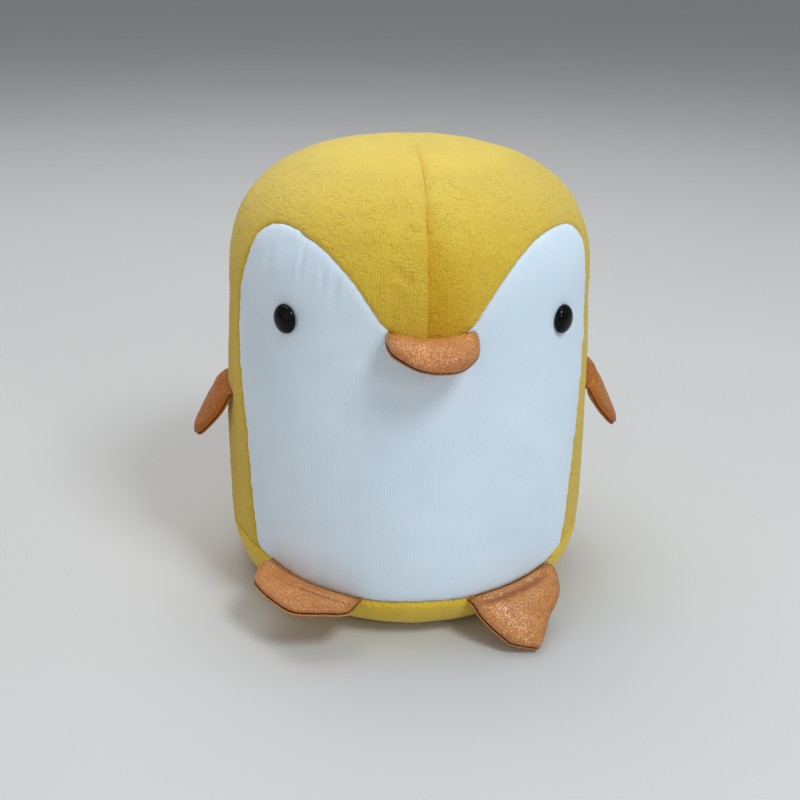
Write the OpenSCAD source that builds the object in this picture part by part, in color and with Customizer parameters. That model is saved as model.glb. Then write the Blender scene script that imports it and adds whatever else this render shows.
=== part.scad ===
// Stuffed penguin toy, in millimetres.
// A sewn body holds loose fibre filling: two plush sides, a knit front and a plush base.
// The beak, the flippers and the feet are padded leatherette flaps sewn into its seams.
// The front faces -Y, +X is the toy's own left, +Z is up.
// The origin is the centre of the flat underside.

/* [Body] */
// Height of the stuffed body
body_h = 205; // [190:1:225]
// Width of the body at its widest, just above the base seam
belly_w = 171; // [164:1:180]
// Width of the body at the shoulder, where the crown starts
shoulder_w = 164; // [156:1:172]
// Diameter of the flat underside
underside_d = 105; // [95:1:115]
// Height of the rounded skirt between the underside and the side
skirt_h = 42; // [38:0.5:50]
// Height of the rounded crown
crown_h = 64; // [58:1:72]
// Extra swell of the side at half height
side_swell = 1; // [0:0.5:3]
// Thickness of the sewn cloth with its pile and backing
cloth_t = 1.6; // [1.2:0.1:2.2]
// Height of the seam that joins the base to the panels above it
base_seam_z = 24; // [20:1:30]

/* [Eyes] */
// Diameter of the eye's dome
eye_d = 12.5; // [10:0.5:16]
// Height that the dome stands out from the cloth
eye_rise = 3.5; // [3:0.5:8]
// Height of the eyes above the underside
eye_z = 142.5; // [135:0.5:150]
// Angle of each eye to the side of the front
eye_turn = 45; // [38:0.5:50]
// Diameter of the shank behind the dome
shank_d = 4; // [3:0.5:5]
// Length of the shank
shank_l = 14; // [11:0.5:16]
// Diameter of the locking washer on the shank
washer_d = 16; // [12:0.5:18]
// Thickness of the locking washer
washer_t = 1.6; // [1.2:0.1:2.4]

/* [Beak] */
// Width of the beak at its root
beak_w = 37; // [30:0.5:42]
// Length of the beak from root to tip
beak_l = 16.5; // [14:0.5:24]
// Height of the beak's root
beak_z = 143; // [138:1:147]
// Angle of the beak below level
beak_droop = 24; // [10:1:35]

/* [Flippers] */
// Width of a flipper at its root
flipper_w = 26; // [22:0.5:32]
// Length of a flipper from root to tip
flipper_l = 29; // [24:0.5:36]
// Height of the flippers' roots
flipper_z = 98; // [85:1:115]
// Angle of each flipper to the side of the front
flipper_turn = 83; // [76:1:95]
// Angle of the flippers below level
flipper_droop = 64; // [40:1:70]

/* [Feet] */
// Width of a foot at its root
foot_w = 48; // [42:0.5:52]
// Length of a foot from root to tip
foot_l = 26; // [22:0.5:30]
// Height of the feet's roots
foot_z = 22.5; // [22:0.5:24]
// Angle of each foot to the side of the front
foot_turn = 32.5; // [30:0.5:38]
// Angle below level of the left foot, whose tip hangs just clear of the ground
foot_droop_left = 46; // [20:1:48]
// Angle below level of the right foot, which stands out
foot_droop_right = -4; // [-8:1:48]

/* [Flap make-up] */
// Thickness of one layer of leatherette
leather_t = 1.2; // [0.8:0.1:1.4]
// Thickness of the wadding between the two layers
wadding_t = 2; // [1.6:0.1:2.4]
// Width of the sewn edge around the wadding
hem_w = 3; // [2:0.5:4]
// Distance from the body's cloth to a flap's root
root_gap = 2.5; // [2.5:0.1:3.5]

/* [Base seam stitching] */
// Distance from one stitch to the next
stitch_pitch = 2.8; // [2.4:0.1:4]
// Visible length of one stitch
stitch_l = 1.9; // [1.4:0.1:2.2]
// Thickness of the thread
thread_d = 0.5; // [0.4:0.05:0.7]

/* [Hidden] */
belly_r = belly_w / 2;
shoulder_r = shoulder_w / 2;
underside_r = underside_d / 2;
shoulder_z = body_h - crown_h;
skirt_power = 3.1;          // roundness of the skirt, 2 is an ellipse
crown_power = 2.74;         // roundness of the crown
curve_steps = 9;            // points along each rounded stretch
side_steps = 5;             // points along the side
fit_gap = 0.2;              // room between neighbouring pieces of one body
over_cut = 1;               // how far a cut runs past the face it opens
washer_seat = cloth_t + 1;  // depth of the washer's face behind the dome's back
washer_room = 0.4;          // extra pocket around the washer
dome_clear = 0.1;           // between the dome's back and the widest cloth behind it
dome_steps = 10;            // points along the eye's dome
rib_l = 1.4;                // spacing of the shank's ribs
rib_depth = 0.25;           // depth of the grooves between the ribs
beak_power = 2.3;           // roundness of the beak's outline, 2 is an ellipse
flipper_power = 2;          // roundness of a flipper's outline
foot_power = 1.75;          // roundness of a foot's outline
flap_steps = 28;            // points around a flap's free edge
root_steps = 8;             // points along a flap's root
thread_stand = 0.1;         // clear of the cloth
seam_turn = 52;             // the stitching runs this far to each side of the front

// Right half of the front panel's outline, from under the beak up over the lobe
// and down the side, as parts of the shoulder radius and of the body's height.
front_edge = [
    [0, 0.688], [0.22, 0.703], [0.36, 0.787], [0.54, 0.853], [0.69, 0.875], [0.81, 0.853],
    [0.893, 0.79], [0.935, 0.70], [0.945, 0.585], [0.915, 0.46], [0.885, 0.30],
    [0.855, 0.19], [0.80, 0.125], [0.74, 0.08]
];
edge_steps = 3;             // points along each span of that outline

plush = "#E8AE2E";
knit = "#E4EAF0";
leather = "#C9793F";
batting = "#F2EFE6";
black = "#101010";

// ---- Body form ----

// Half profile of the body as [radius, height] points, taken inset in from its surface
function half_profile(inset) =
    let (low = inset, high = body_h - inset, seat_r = underside_r - inset)
    concat(
        [[0, low]],
        [for (k = [0 : curve_steps]) let (t = 90 * k / curve_steps)
            [seat_r + (belly_r - inset - seat_r) * pow(sin(t), 2 / skirt_power),
             low + (skirt_h - low) * (1 - pow(cos(t), 2 / skirt_power))]],
        [for (k = [1 : side_steps - 1]) let (u = k / side_steps)
            [belly_r - inset + (shoulder_r - belly_r) * u + side_swell * sin(180 * u),
             skirt_h + (shoulder_z - skirt_h) * u]],
        [for (k = [0 : curve_steps - 1]) let (t = 90 * k / curve_steps)
            [(shoulder_r - inset) * pow(cos(t), 2 / crown_power),
             shoulder_z + (high - shoulder_z) * pow(sin(t), 2 / crown_power)]],
        [[0, high]]
    );

// Radius of the body's surface at a height in the skirt or on the side
function body_r(z) = z < skirt_h
    ? underside_r + (belly_r - underside_r)
        * pow(1 - pow(1 - z / skirt_h, skirt_power), 1 / skirt_power)
    : let (u = min(1, (z - skirt_h) / (shoulder_z - skirt_h)))
        belly_r + (shoulder_r - belly_r) * u + side_swell * sin(180 * u);

// Point on a smooth curve through points, between number i and the next one
function between(points, i, u) =
    let (a = points[max(i - 1, 0)], b = points[i], c = points[i + 1],
         d = points[min(i + 2, len(points) - 1)])
    0.5 * (2 * b + (c - a) * u + (2 * a - 5 * b + 4 * c - d) * u * u
        + (3 * b - a - 3 * c + d) * u * u * u);

function smooth(points) = concat(
    [for (i = [0 : len(points) - 2], k = [0 : edge_steps - 1]) between(points, i, k / edge_steps)],
    [points[len(points) - 1]]
);

module body_solid(inset) {
    rotate_extrude($fn = 128) polygon(half_profile(inset));
}

module cloth() {
    difference() {
        body_solid(0);
        body_solid(cloth_t);
    }
}

// Everything in front of the body whose front view lies inside the front panel
module front_region() {
    half = [for (p = smooth(front_edge)) [p[0] * shoulder_r, p[1] * body_h]];
    mirrored = [for (k = [len(half) - 1 : -1 : 1]) [-half[k][0], half[k][1]]];
    rotate([90, 0, 0]) linear_extrude(belly_w) polygon(concat(half, mirrored));
}

module below_seam() {
    translate([-belly_w, -belly_w, -body_h]) cube([2 * belly_w, 2 * belly_w, body_h + base_seam_z]);
}

// side is 1 for the toy's left and -1 for its right
module half_space(side) {
    translate([side > 0 ? 0 : -belly_w, -belly_w, base_seam_z])
        cube([belly_w, 2 * belly_w, body_h]);
}

// ---- Body pieces ----

module side_panel(side) {
    color(plush) difference() {
        intersection() {
            cloth();
            half_space(side);
        }
        front_region();
    }
}

module front_panel() {
    color(knit) difference() {
        intersection() {
            cloth();
            front_region();
        }
        below_seam();
        for (side = [-1, 1]) at_eye(side) cylinder(d = shank_d + 2 * fit_gap, h = shank_l, $fn = 32);
    }
}

module base_panel() {
    color(plush) intersection() {
        cloth();
        below_seam();
    }
}

module body_filling() {
    color(batting) difference() {
        body_solid(cloth_t + fit_gap);
        for (side = [-1, 1]) at_eye(side) {
            cylinder(d = shank_d + 2 * fit_gap, h = shank_l + fit_gap, $fn = 32);
            cylinder(d = washer_d + 2 * washer_room, h = washer_seat + washer_t + washer_room, $fn = 64);
        }
    }
}

// Short stitches lying on the cloth, along the front of the base seam
module base_seam_thread() {
    ring_r = body_r(base_seam_z) + thread_d / 2 + thread_stand;
    step = stitch_pitch / ring_r * 180 / PI;
    count = floor(seam_turn / step);
    color(plush) for (k = [-count : count])
        rotate([0, 0, k * step]) translate([-stitch_l / 2, -ring_r, base_seam_z])
            rotate([0, 90, 0]) cylinder(d = thread_d, h = stitch_l, $fn = 16);
}

// ---- Eyes ----

// Places a child at an eye, with +Z pointing into the body from the dome's back
module at_eye(side) {
    seat_r = body_r(eye_z - eye_d / 2) + dome_clear;
    rotate([0, 0, side * eye_turn]) translate([0, -seat_r, eye_z]) rotate([-90, 0, 0]) children();
}

// Half section of the dome and its ribbed shank
module eye_section() {
    dome_r = eye_d / 2;
    shank_r = shank_d / 2;
    ribs = floor((shank_l - washer_seat - washer_t - rib_l) / rib_l);
    rib_start = washer_seat + washer_t + rib_l / 2;
    polygon(concat(
        [for (k = [0 : dome_steps]) let (t = 90 * k / dome_steps)
            [dome_r * sin(t), -eye_rise * cos(t)]],
        [[shank_r, 0], [shank_r, rib_start]],
        [for (k = [0 : ribs - 1]) each [
            [shank_r - rib_depth, rib_start + rib_l * (k + 0.5)],
            [shank_r, rib_start + rib_l * (k + 1)]]],
        [[0, shank_l]]
    ));
}

module eye(side) {
    color(black) at_eye(side) rotate_extrude($fn = 64) eye_section();
}

module eye_washer(side) {
    color(batting) at_eye(side) translate([0, 0, washer_seat]) difference() {
        cylinder(d = washer_d, h = washer_t, $fn = 64);
        translate([0, 0, -over_cut]) cylinder(d = shank_d, h = washer_t + 2 * over_cut, $fn = 32);
    }
}

// ---- Padded flaps ----
// A flap is built with its root on the X axis and its tip towards -Y.
// root_r is the distance from the body's centre line to the flap's root.

// inset draws the same outline that far inside its edge
function root_y(x, root_r, inset) = root_r - sqrt(root_r * root_r - x * x) - inset;

function flap_outline(w, l, power, root_r, inset) =
    let (half_w = w / 2 - inset, corner_y = root_y(half_w, root_r, inset))
    concat(
        [for (k = [0 : flap_steps]) let (t = 180 * k / flap_steps)
            [-half_w * sign(cos(t)) * pow(abs(cos(t)), 2 / power),
             corner_y - (l - inset + corner_y) * pow(sin(t), 2 / power)]],
        [for (k = [1 : root_steps - 1]) let (x = half_w * (1 - 2 * k / root_steps))
            [x, root_y(x, root_r, inset)]]
    );

module flap_layer(w, l, power, root_r) {
    difference() {
        linear_extrude(leather_t + wadding_t / 2) polygon(flap_outline(w, l, power, root_r, 0));
        translate([0, 0, -over_cut]) linear_extrude(over_cut + wadding_t / 2)
            polygon(flap_outline(w, l, power, root_r, hem_w));
    }
}

module flap_wadding(w, l, power, root_r) {
    translate([0, 0, fit_gap - wadding_t / 2]) linear_extrude(wadding_t - 2 * fit_gap)
        polygon(flap_outline(w, l, power, root_r, hem_w + fit_gap));
}

// Draws one piece of a flap: "upper", "lower" or "wadding"
module flap(piece, w, l, power, z, turn, droop) {
    root_r = body_r(z) + root_gap;
    color(piece == "wadding" ? batting : leather)
        rotate([0, 0, turn]) translate([0, -root_r, z]) rotate([droop, 0, 0]) {
            if (piece == "upper") flap_layer(w, l, power, root_r);
            if (piece == "lower") mirror([0, 0, 1]) flap_layer(w, l, power, root_r);
            if (piece == "wadding") flap_wadding(w, l, power, root_r);
        }
}

module beak(piece) {
    flap(piece, beak_w, beak_l, beak_power, beak_z, 0, beak_droop);
}

module flipper(piece, side) {
    flap(piece, flipper_w, flipper_l, flipper_power, flipper_z, side * flipper_turn, flipper_droop);
}

module foot(piece, side) {
    droop = side > 0 ? foot_droop_left : foot_droop_right;
    flap(piece, foot_w, foot_l, foot_power, foot_z, side * foot_turn, droop);
}

// ---- Nodes ----

side_panel(1);  // side_panel_left
side_panel(-1);  // side_panel_right
front_panel();
base_panel();
body_filling();
base_seam_thread();
eye(1);  // eye_left
eye(-1);  // eye_right
eye_washer(1);  // eye_washer_left
eye_washer(-1);  // eye_washer_right
beak("upper");  // beak_upper
beak("lower");  // beak_lower
beak("wadding");  // beak_wadding
flipper("upper", 1);  // flipper_left_outer
flipper("lower", 1);  // flipper_left_inner
flipper("wadding", 1);  // flipper_left_wadding
flipper("upper", -1);  // flipper_right_outer
flipper("lower", -1);  // flipper_right_inner
flipper("wadding", -1);  // flipper_right_wadding
foot("upper", 1);  // foot_left_upper
foot("lower", 1);  // foot_left_sole
foot("wadding", 1);  // foot_left_wadding
foot("upper", -1);  // foot_right_upper
foot("lower", -1);  // foot_right_sole
foot("wadding", -1);  // foot_right_wadding
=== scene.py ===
import math

import bmesh
import bpy
import numpy as np
from mathutils import Matrix, Vector
from mathutils.geometry import delaunay_2d_cdt
from mathutils.kdtree import KDTree


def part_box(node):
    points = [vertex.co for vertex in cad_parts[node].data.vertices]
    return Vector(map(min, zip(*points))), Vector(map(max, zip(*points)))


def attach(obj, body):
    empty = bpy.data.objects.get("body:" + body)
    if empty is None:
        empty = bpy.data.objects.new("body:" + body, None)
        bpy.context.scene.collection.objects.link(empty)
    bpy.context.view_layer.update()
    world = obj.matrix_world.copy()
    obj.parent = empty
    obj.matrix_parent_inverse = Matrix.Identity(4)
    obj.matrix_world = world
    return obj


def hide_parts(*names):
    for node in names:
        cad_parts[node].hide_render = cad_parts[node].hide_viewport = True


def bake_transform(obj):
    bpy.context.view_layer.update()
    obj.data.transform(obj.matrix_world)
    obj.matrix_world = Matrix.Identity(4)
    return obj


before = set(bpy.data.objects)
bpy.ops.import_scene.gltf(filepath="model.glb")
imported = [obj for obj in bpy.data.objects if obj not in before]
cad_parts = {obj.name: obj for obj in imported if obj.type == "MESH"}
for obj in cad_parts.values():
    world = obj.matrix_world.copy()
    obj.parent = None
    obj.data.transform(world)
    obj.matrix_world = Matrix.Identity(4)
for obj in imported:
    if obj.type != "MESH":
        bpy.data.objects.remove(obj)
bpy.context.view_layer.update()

# Lengths in the geometry code are millimetres, angles are degrees unless a name says otherwise.
# The front faces -Y, azimuth 0 is the front and grows towards +X, the toy's own left.
MM = 0.001
body_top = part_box("side_panel_left")[1]
BODY_H = body_top[2] / MM
BELLY_R = body_top[0] / MM
SHOULDER_R = BELLY_R - 3.5
UNDER_R = 52.5
SKIRT_H = 42.0
SKIRT_POWER = 3.1
CROWN_H = 64.0
CROWN_POWER = 2.82
SHOULDER_Z = BODY_H - CROWN_H
SEAM_FRONT_Z = 141.0
SEAM_BACK_Z = 29.0
BASE_SEAM_R = 81.0
CLOTH_T = 1.5
LEATHER_T = 0.65
SWELL_FRAMES = 20
SCENE = bpy.context.scene


def new_object(name, data):
    obj = bpy.data.objects.new(name, data)
    SCENE.collection.objects.link(obj)
    return obj


# ---- camera and lights

def add_camera(azimuth, elevation, distance, target, lens, roll):
    a, e = math.radians(azimuth), math.radians(elevation)
    back = Vector((math.sin(a) * math.cos(e), -math.cos(a) * math.cos(e), math.sin(e)))
    right = Vector((0, 0, 1)).cross(back).normalized()
    turn = Matrix((right, back.cross(right), back)).transposed().to_4x4()
    data = bpy.data.cameras.new("studio_camera")
    data.lens = lens
    data.sensor_width = 36
    data.clip_start = 0.01
    camera = new_object("studio_camera", data)
    camera.matrix_world = (Matrix.Translation((Vector(target) + back * distance) * MM)
                           @ turn @ Matrix.Rotation(math.radians(roll), 4, "Z"))
    bpy.context.scene.camera = camera


def add_area(name, location, aim_height, size, power, colour):
    """A round lamp, placed in metres, aimed at a height above the origin."""
    data = bpy.data.lights.new(name, "AREA")
    data.shape = "DISK"
    data.size = size
    data.energy = power
    data.color = colour
    aim = (Vector((0, 0, aim_height)) - Vector(location)).to_track_quat("-Z", "Y")
    new_object(name, data).matrix_world = Matrix.Translation(location) @ aim.to_matrix().to_4x4()


add_camera(azimuth=-6.4, elevation=23.0, distance=532.3, target=(-3.1, 0.4, 81.2), lens=49.5,
           roll=1.02)
add_area("key", (0.62, -0.85, 1.42), 0.09, 0.50, 13.2, (0.86, 0.95, 1.0))
add_area("side", (1.45, -0.45, 0.75), 0.10, 0.9, 0.5, (0.84, 0.94, 1.0))
add_area("window", (0.72, -1.25, 0.80), 0.08, 0.20, 2.1, (0.96, 0.97, 1.0))
add_area("fill", (-1.30, -1.35, 0.95), 0.08, 2.4, 7.3, (1.0, 0.90, 0.80))
add_area("top", (-0.15, 0.45, 1.45), 0.14, 1.4, 12.8, (0.97, 0.985, 1.0))


# ---- node materials

class Nodes:
    """Adds and links the shader nodes of one material."""

    def __init__(self, name):
        self.mat = bpy.data.materials.new(name)
        self.mat.use_nodes = True
        self.tree = self.mat.node_tree
        self.shader = self.tree.nodes["Principled BSDF"]

    def put(self, socket, value):
        if isinstance(value, bpy.types.NodeSocket):
            self.tree.links.new(value, socket)
        else:
            socket.default_value = (*value, 1) if socket.type == "RGBA" else value

    def add(self, kind, out, inputs, **settings):
        """A new node with its inputs and settings. Returns one of its outputs."""
        node = self.tree.nodes.new("ShaderNode" + kind)
        for key, value in settings.items():
            setattr(node, key, value)
        for key, value in inputs.items():
            self.put(node.inputs[key], value)
        return node.outputs[out]

    def math(self, operation, a, b=0.0):
        return self.add("Math", 0, {0: a, 1: b}, operation=operation)

    def times(self, a, b):
        return self.math("MULTIPLY", a, b)

    def plus(self, a, b):
        return self.math("ADD", a, b)

    def inverse(self, a):
        return self.math("SUBTRACT", 1.0, a)

    def wobble(self, a, size):
        """A 0 to 1 value as a shift to both sides, in metres."""
        return self.times(self.math("SUBTRACT", a, 0.5), size)

    def total(self, *parts):
        """Weighted sum of value and weight pairs."""
        out = self.times(*parts[0])
        for part in parts[1:]:
            out = self.plus(out, self.times(*part))
        return out

    def mix(self, factor, a, b):
        return self.add("Mix", 2, {0: factor, 6: a, 7: b}, data_type="RGBA")

    def tinted(self, colour, *steps):
        """The colour with others mixed over it in turn, as factor and colour pairs."""
        for factor, over in steps:
            colour = self.mix(factor, colour, over)
        return colour

    def ramp(self, value, low, high, a=0.0, b=1.0):
        """Soft step from a at low to b at high."""
        return self.add("MapRange", 0, {"Value": value, "From Min": low, "From Max": high,
                                        "To Min": a, "To Max": b},
                        interpolation_type="SMOOTHSTEP")

    def ridges(self, across, pitch):
        """Rounded ridges from 0 to 1, one for each pitch in metres."""
        return self.math("ABSOLUTE", self.math("SINE", self.times(across, math.pi / pitch)))

    def place(self, scale=(1, 1, 1)):
        return self.add("Mapping", 0, {"Vector": self.add("TexCoord", "Object", {}),
                                       "Scale": scale})

    def cloth_uv(self):
        """Distance across and along the wales, in metres, from the piece's own map."""
        cloth = self.add("UVMap", 0, {}, uv_map="cloth")
        return [self.add("SeparateXYZ", k, {0: cloth}) for k in (0, 1)]

    def tone(self):
        """The piece's painted shade, 0 where it has none."""
        return self.add("Attribute", 2, {}, attribute_name="tone")

    def noise(self, vector, scale, detail, rough):
        return self.add("TexNoise", 0, {"Vector": vector, "Scale": scale, "Detail": detail,
                                        "Roughness": rough})

    def bump(self, height, distance, strength):
        return self.add("Bump", 0, {"Height": height, "Distance": distance,
                                    "Strength": strength})

    def finish(self, colour, rough, normal, **sockets):
        sockets |= {"Base_Color": colour, "Roughness": rough, "Normal": normal}
        for key, value in sockets.items():
            self.put(self.shader.inputs[key.replace("_", " ")], value)
        return self.mat


def plush_material(name, deep, low, mid, high):
    n = Nodes(name)
    here = n.place()
    across, along = n.cloth_uv()
    drift = n.noise(here, 38, 3, 0.55)
    patch = n.noise(here, 190, 3, 0.6)
    pile = n.noise(n.place((1, 1, 0.42)), 2100, 2, 0.65)
    tuft = n.noise(here, 900, 2, 0.6)
    height = n.add("SeparateXYZ", 2, {0: here})
    # The wales and furrows fade out at the middle of the crown, where the map closes up.
    over = n.ramp(height, 0.1975, 0.2042, 1.0, 0.0)
    wale = n.ridges(n.plus(across, n.wobble(tuft, 0.0016)), 0.00112)
    wale = n.plus(n.times(n.math("SUBTRACT", wale, 0.5), over), 0.5)
    ruck = n.add("CombineXYZ", 0, {"X": n.times(across, 0.45), "Y": along,
                                   "Z": n.times(drift, 0.004)})
    furrow = n.times(n.ramp(n.noise(ruck, 640, 2, 0.55), 0.36, 0.54, 1.0, 0.0),
                     n.ramp(patch, 0.42, 0.60, 0.25, 1.0))
    furrow = n.times(furrow, over)
    # Painted shade, partly also the pile lying another way, broken up by the patches: it takes
    # the light pile colour down to mid and the colour towards deep.
    nap_and_painted_shade = n.times(n.tone(), n.ramp(patch, 0.25, 0.6, 0.7, 1.0))
    high = n.mix(n.times(nap_and_painted_shade, 0.75), high, mid)
    nap = n.total((drift, 0.55), (patch, 0.45))
    colour = n.tinted(
        n.mix(n.ramp(nap, 0.34, 0.66, 0.62, 1.0), low, mid),
        (n.times(nap_and_painted_shade, 0.85), deep),
        # Painted shade darker towards the bottom, and a painted sheen lighter over the crown.
        (n.ramp(height, 0.02, 0.13, 0.16, 0.0), deep),
        (n.ramp(height, 0.165, 0.203, 0.0, 0.28), (0.82, 0.73, 0.24)),
        (n.times(furrow, 0.36), low),
        (n.ramp(pile, 0.42, 0.70, 0.08, 0.48), high),
        (n.ramp(tuft, 0.32, 0.50, 0.30, 0.0), low),
        (n.times(n.inverse(wale), 0.17), low))
    relief = n.total((pile, 0.60), (tuft, 0.75), (wale, 0.40), (furrow, -0.60))
    return n.finish(colour, n.ramp(pile, 0.3, 0.7, 0.98, 0.86), n.bump(relief, 0.00055, 0.75),
                    Sheen_Weight=0.34, Sheen_Roughness=0.42, Sheen_Tint=(0.93, 0.97, 0.70),
                    Specular_IOR_Level=0.12)


def knit_material():
    n = Nodes("knit")
    here = n.place()
    across, along = n.cloth_uv()
    fuzz = n.noise(here, 1700, 3, 0.65)
    slub = n.noise(n.place((1, 1, 0.25)), 520, 2, 0.55)
    wale = n.ridges(n.plus(across, n.wobble(slub, 0.0008)), 0.00105)
    turn = n.times(n.plus(along, n.times(wale, 0.0003)), 2 * math.pi / 0.0009)
    loops = n.math("MULTIPLY_ADD", n.math("SINE", turn), 0.5)
    colour = n.tinted(
        (0.67, 0.785, 0.885),
        (n.ramp(n.noise(here, 26, 3, 0.5), 0.35, 0.68), (0.72, 0.825, 0.915)),
        (n.times(n.inverse(n.total((wale, 0.6), (loops, 0.4))), 0.20), (0.50, 0.58, 0.67)),
        (n.ramp(fuzz, 0.28, 0.44, 0.20, 0.0), (0.56, 0.62, 0.70)),
        (n.ramp(n.noise(here, 420, 0, 0.5), 0.85, 0.88, 0.0, 0.22), (0.42, 0.42, 0.44)))
    relief = n.total((wale, 0.45), (loops, 0.12), (fuzz, 0.85), (slub, 0.6))
    return n.finish(colour, n.ramp(fuzz, 0.3, 0.7, 0.94, 0.80), n.bump(relief, 0.00022, 0.55),
                    Sheen_Weight=0.22, Sheen_Roughness=0.45, Specular_IOR_Level=0.22)


def leather_material(name, base, deep, light, shine):
    n = Nodes(name)
    here = n.place()
    across, along = n.cloth_uv()
    drift = n.noise(here, 60, 3, 0.55)
    skewed = n.times(n.plus(along, n.times(across, 0.35)), 0.42)
    stretched = n.add("CombineXYZ", 0, {"X": n.plus(across, n.wobble(drift, 0.012)),
                                        "Y": skewed})
    grain = n.noise(stretched, 2200, 1, 0.5)
    crack = n.noise(stretched, 4200, 1, 0.5)
    valley = n.ramp(grain, 0.38, 0.56)
    colour = n.tinted(
        base,
        (n.ramp(drift, 0.34, 0.66), light),
        (n.ramp(n.noise(here, 320, 2, 0.5), 0.34, 0.62, 0.14, 0.0), deep),
        (n.times(n.inverse(valley), 0.66), deep),
        (n.times(n.inverse(n.ramp(crack, 0.36, 0.52)), 0.30), deep),
        # Painted shade along the creases, at the root and round the front edge.
        (n.times(n.tone(), 0.88), deep),
        (n.ramp(n.add("NewGeometry", "Pointiness", {}), 0.50, 0.56, 0.0, 0.22), light))
    relief = n.total((grain, 1.0), (valley, 0.4), (crack, 0.45))
    return n.finish(colour, n.ramp(grain, 0.35, 0.65, 0.62, 0.36), n.bump(relief, 0.00040, 0.9),
                    Specular_IOR_Level=0.38 * shine, Coat_Weight=0.8 * shine,
                    Coat_Roughness=0.18, Coat_Normal=n.bump(relief, 0.00040, 0.40))


def eye_material():
    n = Nodes("eye")
    here = n.place()
    fine = n.noise(here, 900, 2, 0.5)
    colour = n.mix(n.noise(here, 140, 3, 0.5), (0.0015, 0.0015, 0.0015),
                   (0.004, 0.0035, 0.0035))
    return n.finish(colour, n.ramp(fine, 0.4, 0.75, 0.05, 0.13), n.bump(fine, 0.00002, 0.25),
                    Specular_IOR_Level=0.11, Coat_Weight=0.05, Coat_Roughness=0.03)


def thread_material(name, base, dark):
    n = Nodes(name)
    twist = n.noise(n.place((1, 1, 2.2)), 2600, 2, 0.6)
    colour = n.tinted(
        dark,
        (n.ramp(twist, 0.35, 0.65), base),
        (n.times(n.noise(n.place(), 150, 2, 0.5), 0.25), dark),
        # Painted shade at the threads' ends, where they go into the cloth.
        (n.times(n.tone(), 0.9), (0.07, 0.045, 0.02)))
    return n.finish(colour, 0.80, n.bump(twist, 0.0002, 0.8), Sheen_Weight=0.1,
                    Specular_IOR_Level=0.2)


def fibre_material(name, low, high):
    n = Nodes(name)
    clump = n.noise(n.place(), 130, 4, 0.65)
    strand = n.noise(n.place((1, 0.3, 1)), 1500, 3, 0.7)
    colour = n.tinted(low, (n.ramp(clump, 0.35, 0.65), high),
                      (n.ramp(strand, 0.35, 0.6, 0.35, 0.0), low))
    relief = n.total((clump, 1.0), (strand, 0.4))
    return n.finish(colour, 0.95, n.bump(relief, 0.0015, 0.8), Sheen_Weight=0.4)


def washer_material():
    n = Nodes("washer")
    flow = n.noise(n.place(), 220, 3, 0.6)
    colour = n.mix(flow, (0.70, 0.70, 0.68), (0.84, 0.84, 0.82))
    return n.finish(colour, n.ramp(flow, 0.3, 0.7, 0.42, 0.60), n.bump(flow, 0.0001, 0.4))


def floor_material():
    n = Nodes("floor")
    here = n.place()
    colour = n.mix(n.noise(here, 3, 3, 0.5), (0.56, 0.555, 0.545), (0.60, 0.595, 0.585))
    return n.finish(colour, 0.75, n.bump(n.noise(here, 600, 2, 0.5), 0.0001, 0.3))


PLUSH = plush_material("plush", (0.60, 0.315, 0.008), (0.53, 0.295, 0.014),
                       (0.73, 0.495, 0.040), (0.82, 0.66, 0.135))
# Painted light: a lighter copy of the plush colours, for the base panel.
PLUSH_PAINTED_LIGHTER = plush_material("plush_painted_lighter", (0.66, 0.35, 0.010), (0.62, 0.37, 0.020),
                           (0.86, 0.60, 0.052), (0.92, 0.74, 0.150))
KNIT = knit_material()
LEATHER = leather_material("leatherette", (0.68, 0.250, 0.042), (0.32, 0.085, 0.012),
                           (0.82, 0.345, 0.072), 1.0)
# Painted shade: a darker copy of the leatherette for the flippers, with less shine.
LEATHER_PAINTED_DARKER = leather_material("leatherette_flipper_painted_darker", (0.55, 0.180, 0.022),
                                (0.26, 0.062, 0.008), (0.66, 0.240, 0.034), 0.25)
EYE = eye_material()
THREAD = thread_material("thread", (0.82, 0.70, 0.33), (0.48, 0.30, 0.06))
SEAM_THREAD = thread_material("seam_thread", (0.76, 0.44, 0.012), (0.62, 0.32, 0.008))
FILLING = fibre_material("filling", (0.72, 0.71, 0.68), (0.88, 0.87, 0.85))
WADDING = fibre_material("wadding", (0.70, 0.68, 0.64), (0.86, 0.85, 0.82))
WASHER = washer_material()

floor_mesh = bpy.data.meshes.new("floor")
bm = bmesh.new()
bmesh.ops.create_grid(bm, x_segments=8, y_segments=8, size=6)
bm.to_mesh(floor_mesh)
bm.free()
floor_mesh.materials.append(floor_material())
floor = new_object("floor", floor_mesh)

SCENE.world = bpy.data.worlds.new("studio")
SCENE.world.use_nodes = True
background = SCENE.world.node_tree.nodes["Background"].inputs
background["Color"].default_value = (0.92, 0.955, 1.0, 1)
background["Strength"].default_value = 0.30
SCENE.view_settings.view_transform = "Standard"


# ---- mesh helpers

def smooth_step(x, low, high):
    t = np.clip((np.asarray(x, float) - low) / (high - low), 0, 1)
    return t * t * (3 - 2 * t)


def dent(gap, depth, width, power=2.0):
    """A rounded trough or rise beside a line, by the distance from it."""
    return depth * np.exp(-(gap / width) ** power)


def smooth_curve(points, step=0.5):
    """Catmull-Rom curve through points, sampled about every step."""
    pts = np.asarray(points, float)
    pad = np.vstack([2 * pts[0] - pts[1], pts, 2 * pts[-1] - pts[-2]])
    out = []
    for i in range(len(pts) - 1):
        a, b, c, d = pad[i:i + 4]
        count = max(2, int(np.linalg.norm(c - b) / step))
        for u in np.arange(count) / count:
            out.append(0.5 * (2 * b + (c - a) * u + (2 * a - 5 * b + 4 * c - d) * u ** 2
                              + (3 * b - a - 3 * c + d) * u ** 3))
    return np.array(out + [pts[-1]])


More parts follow.
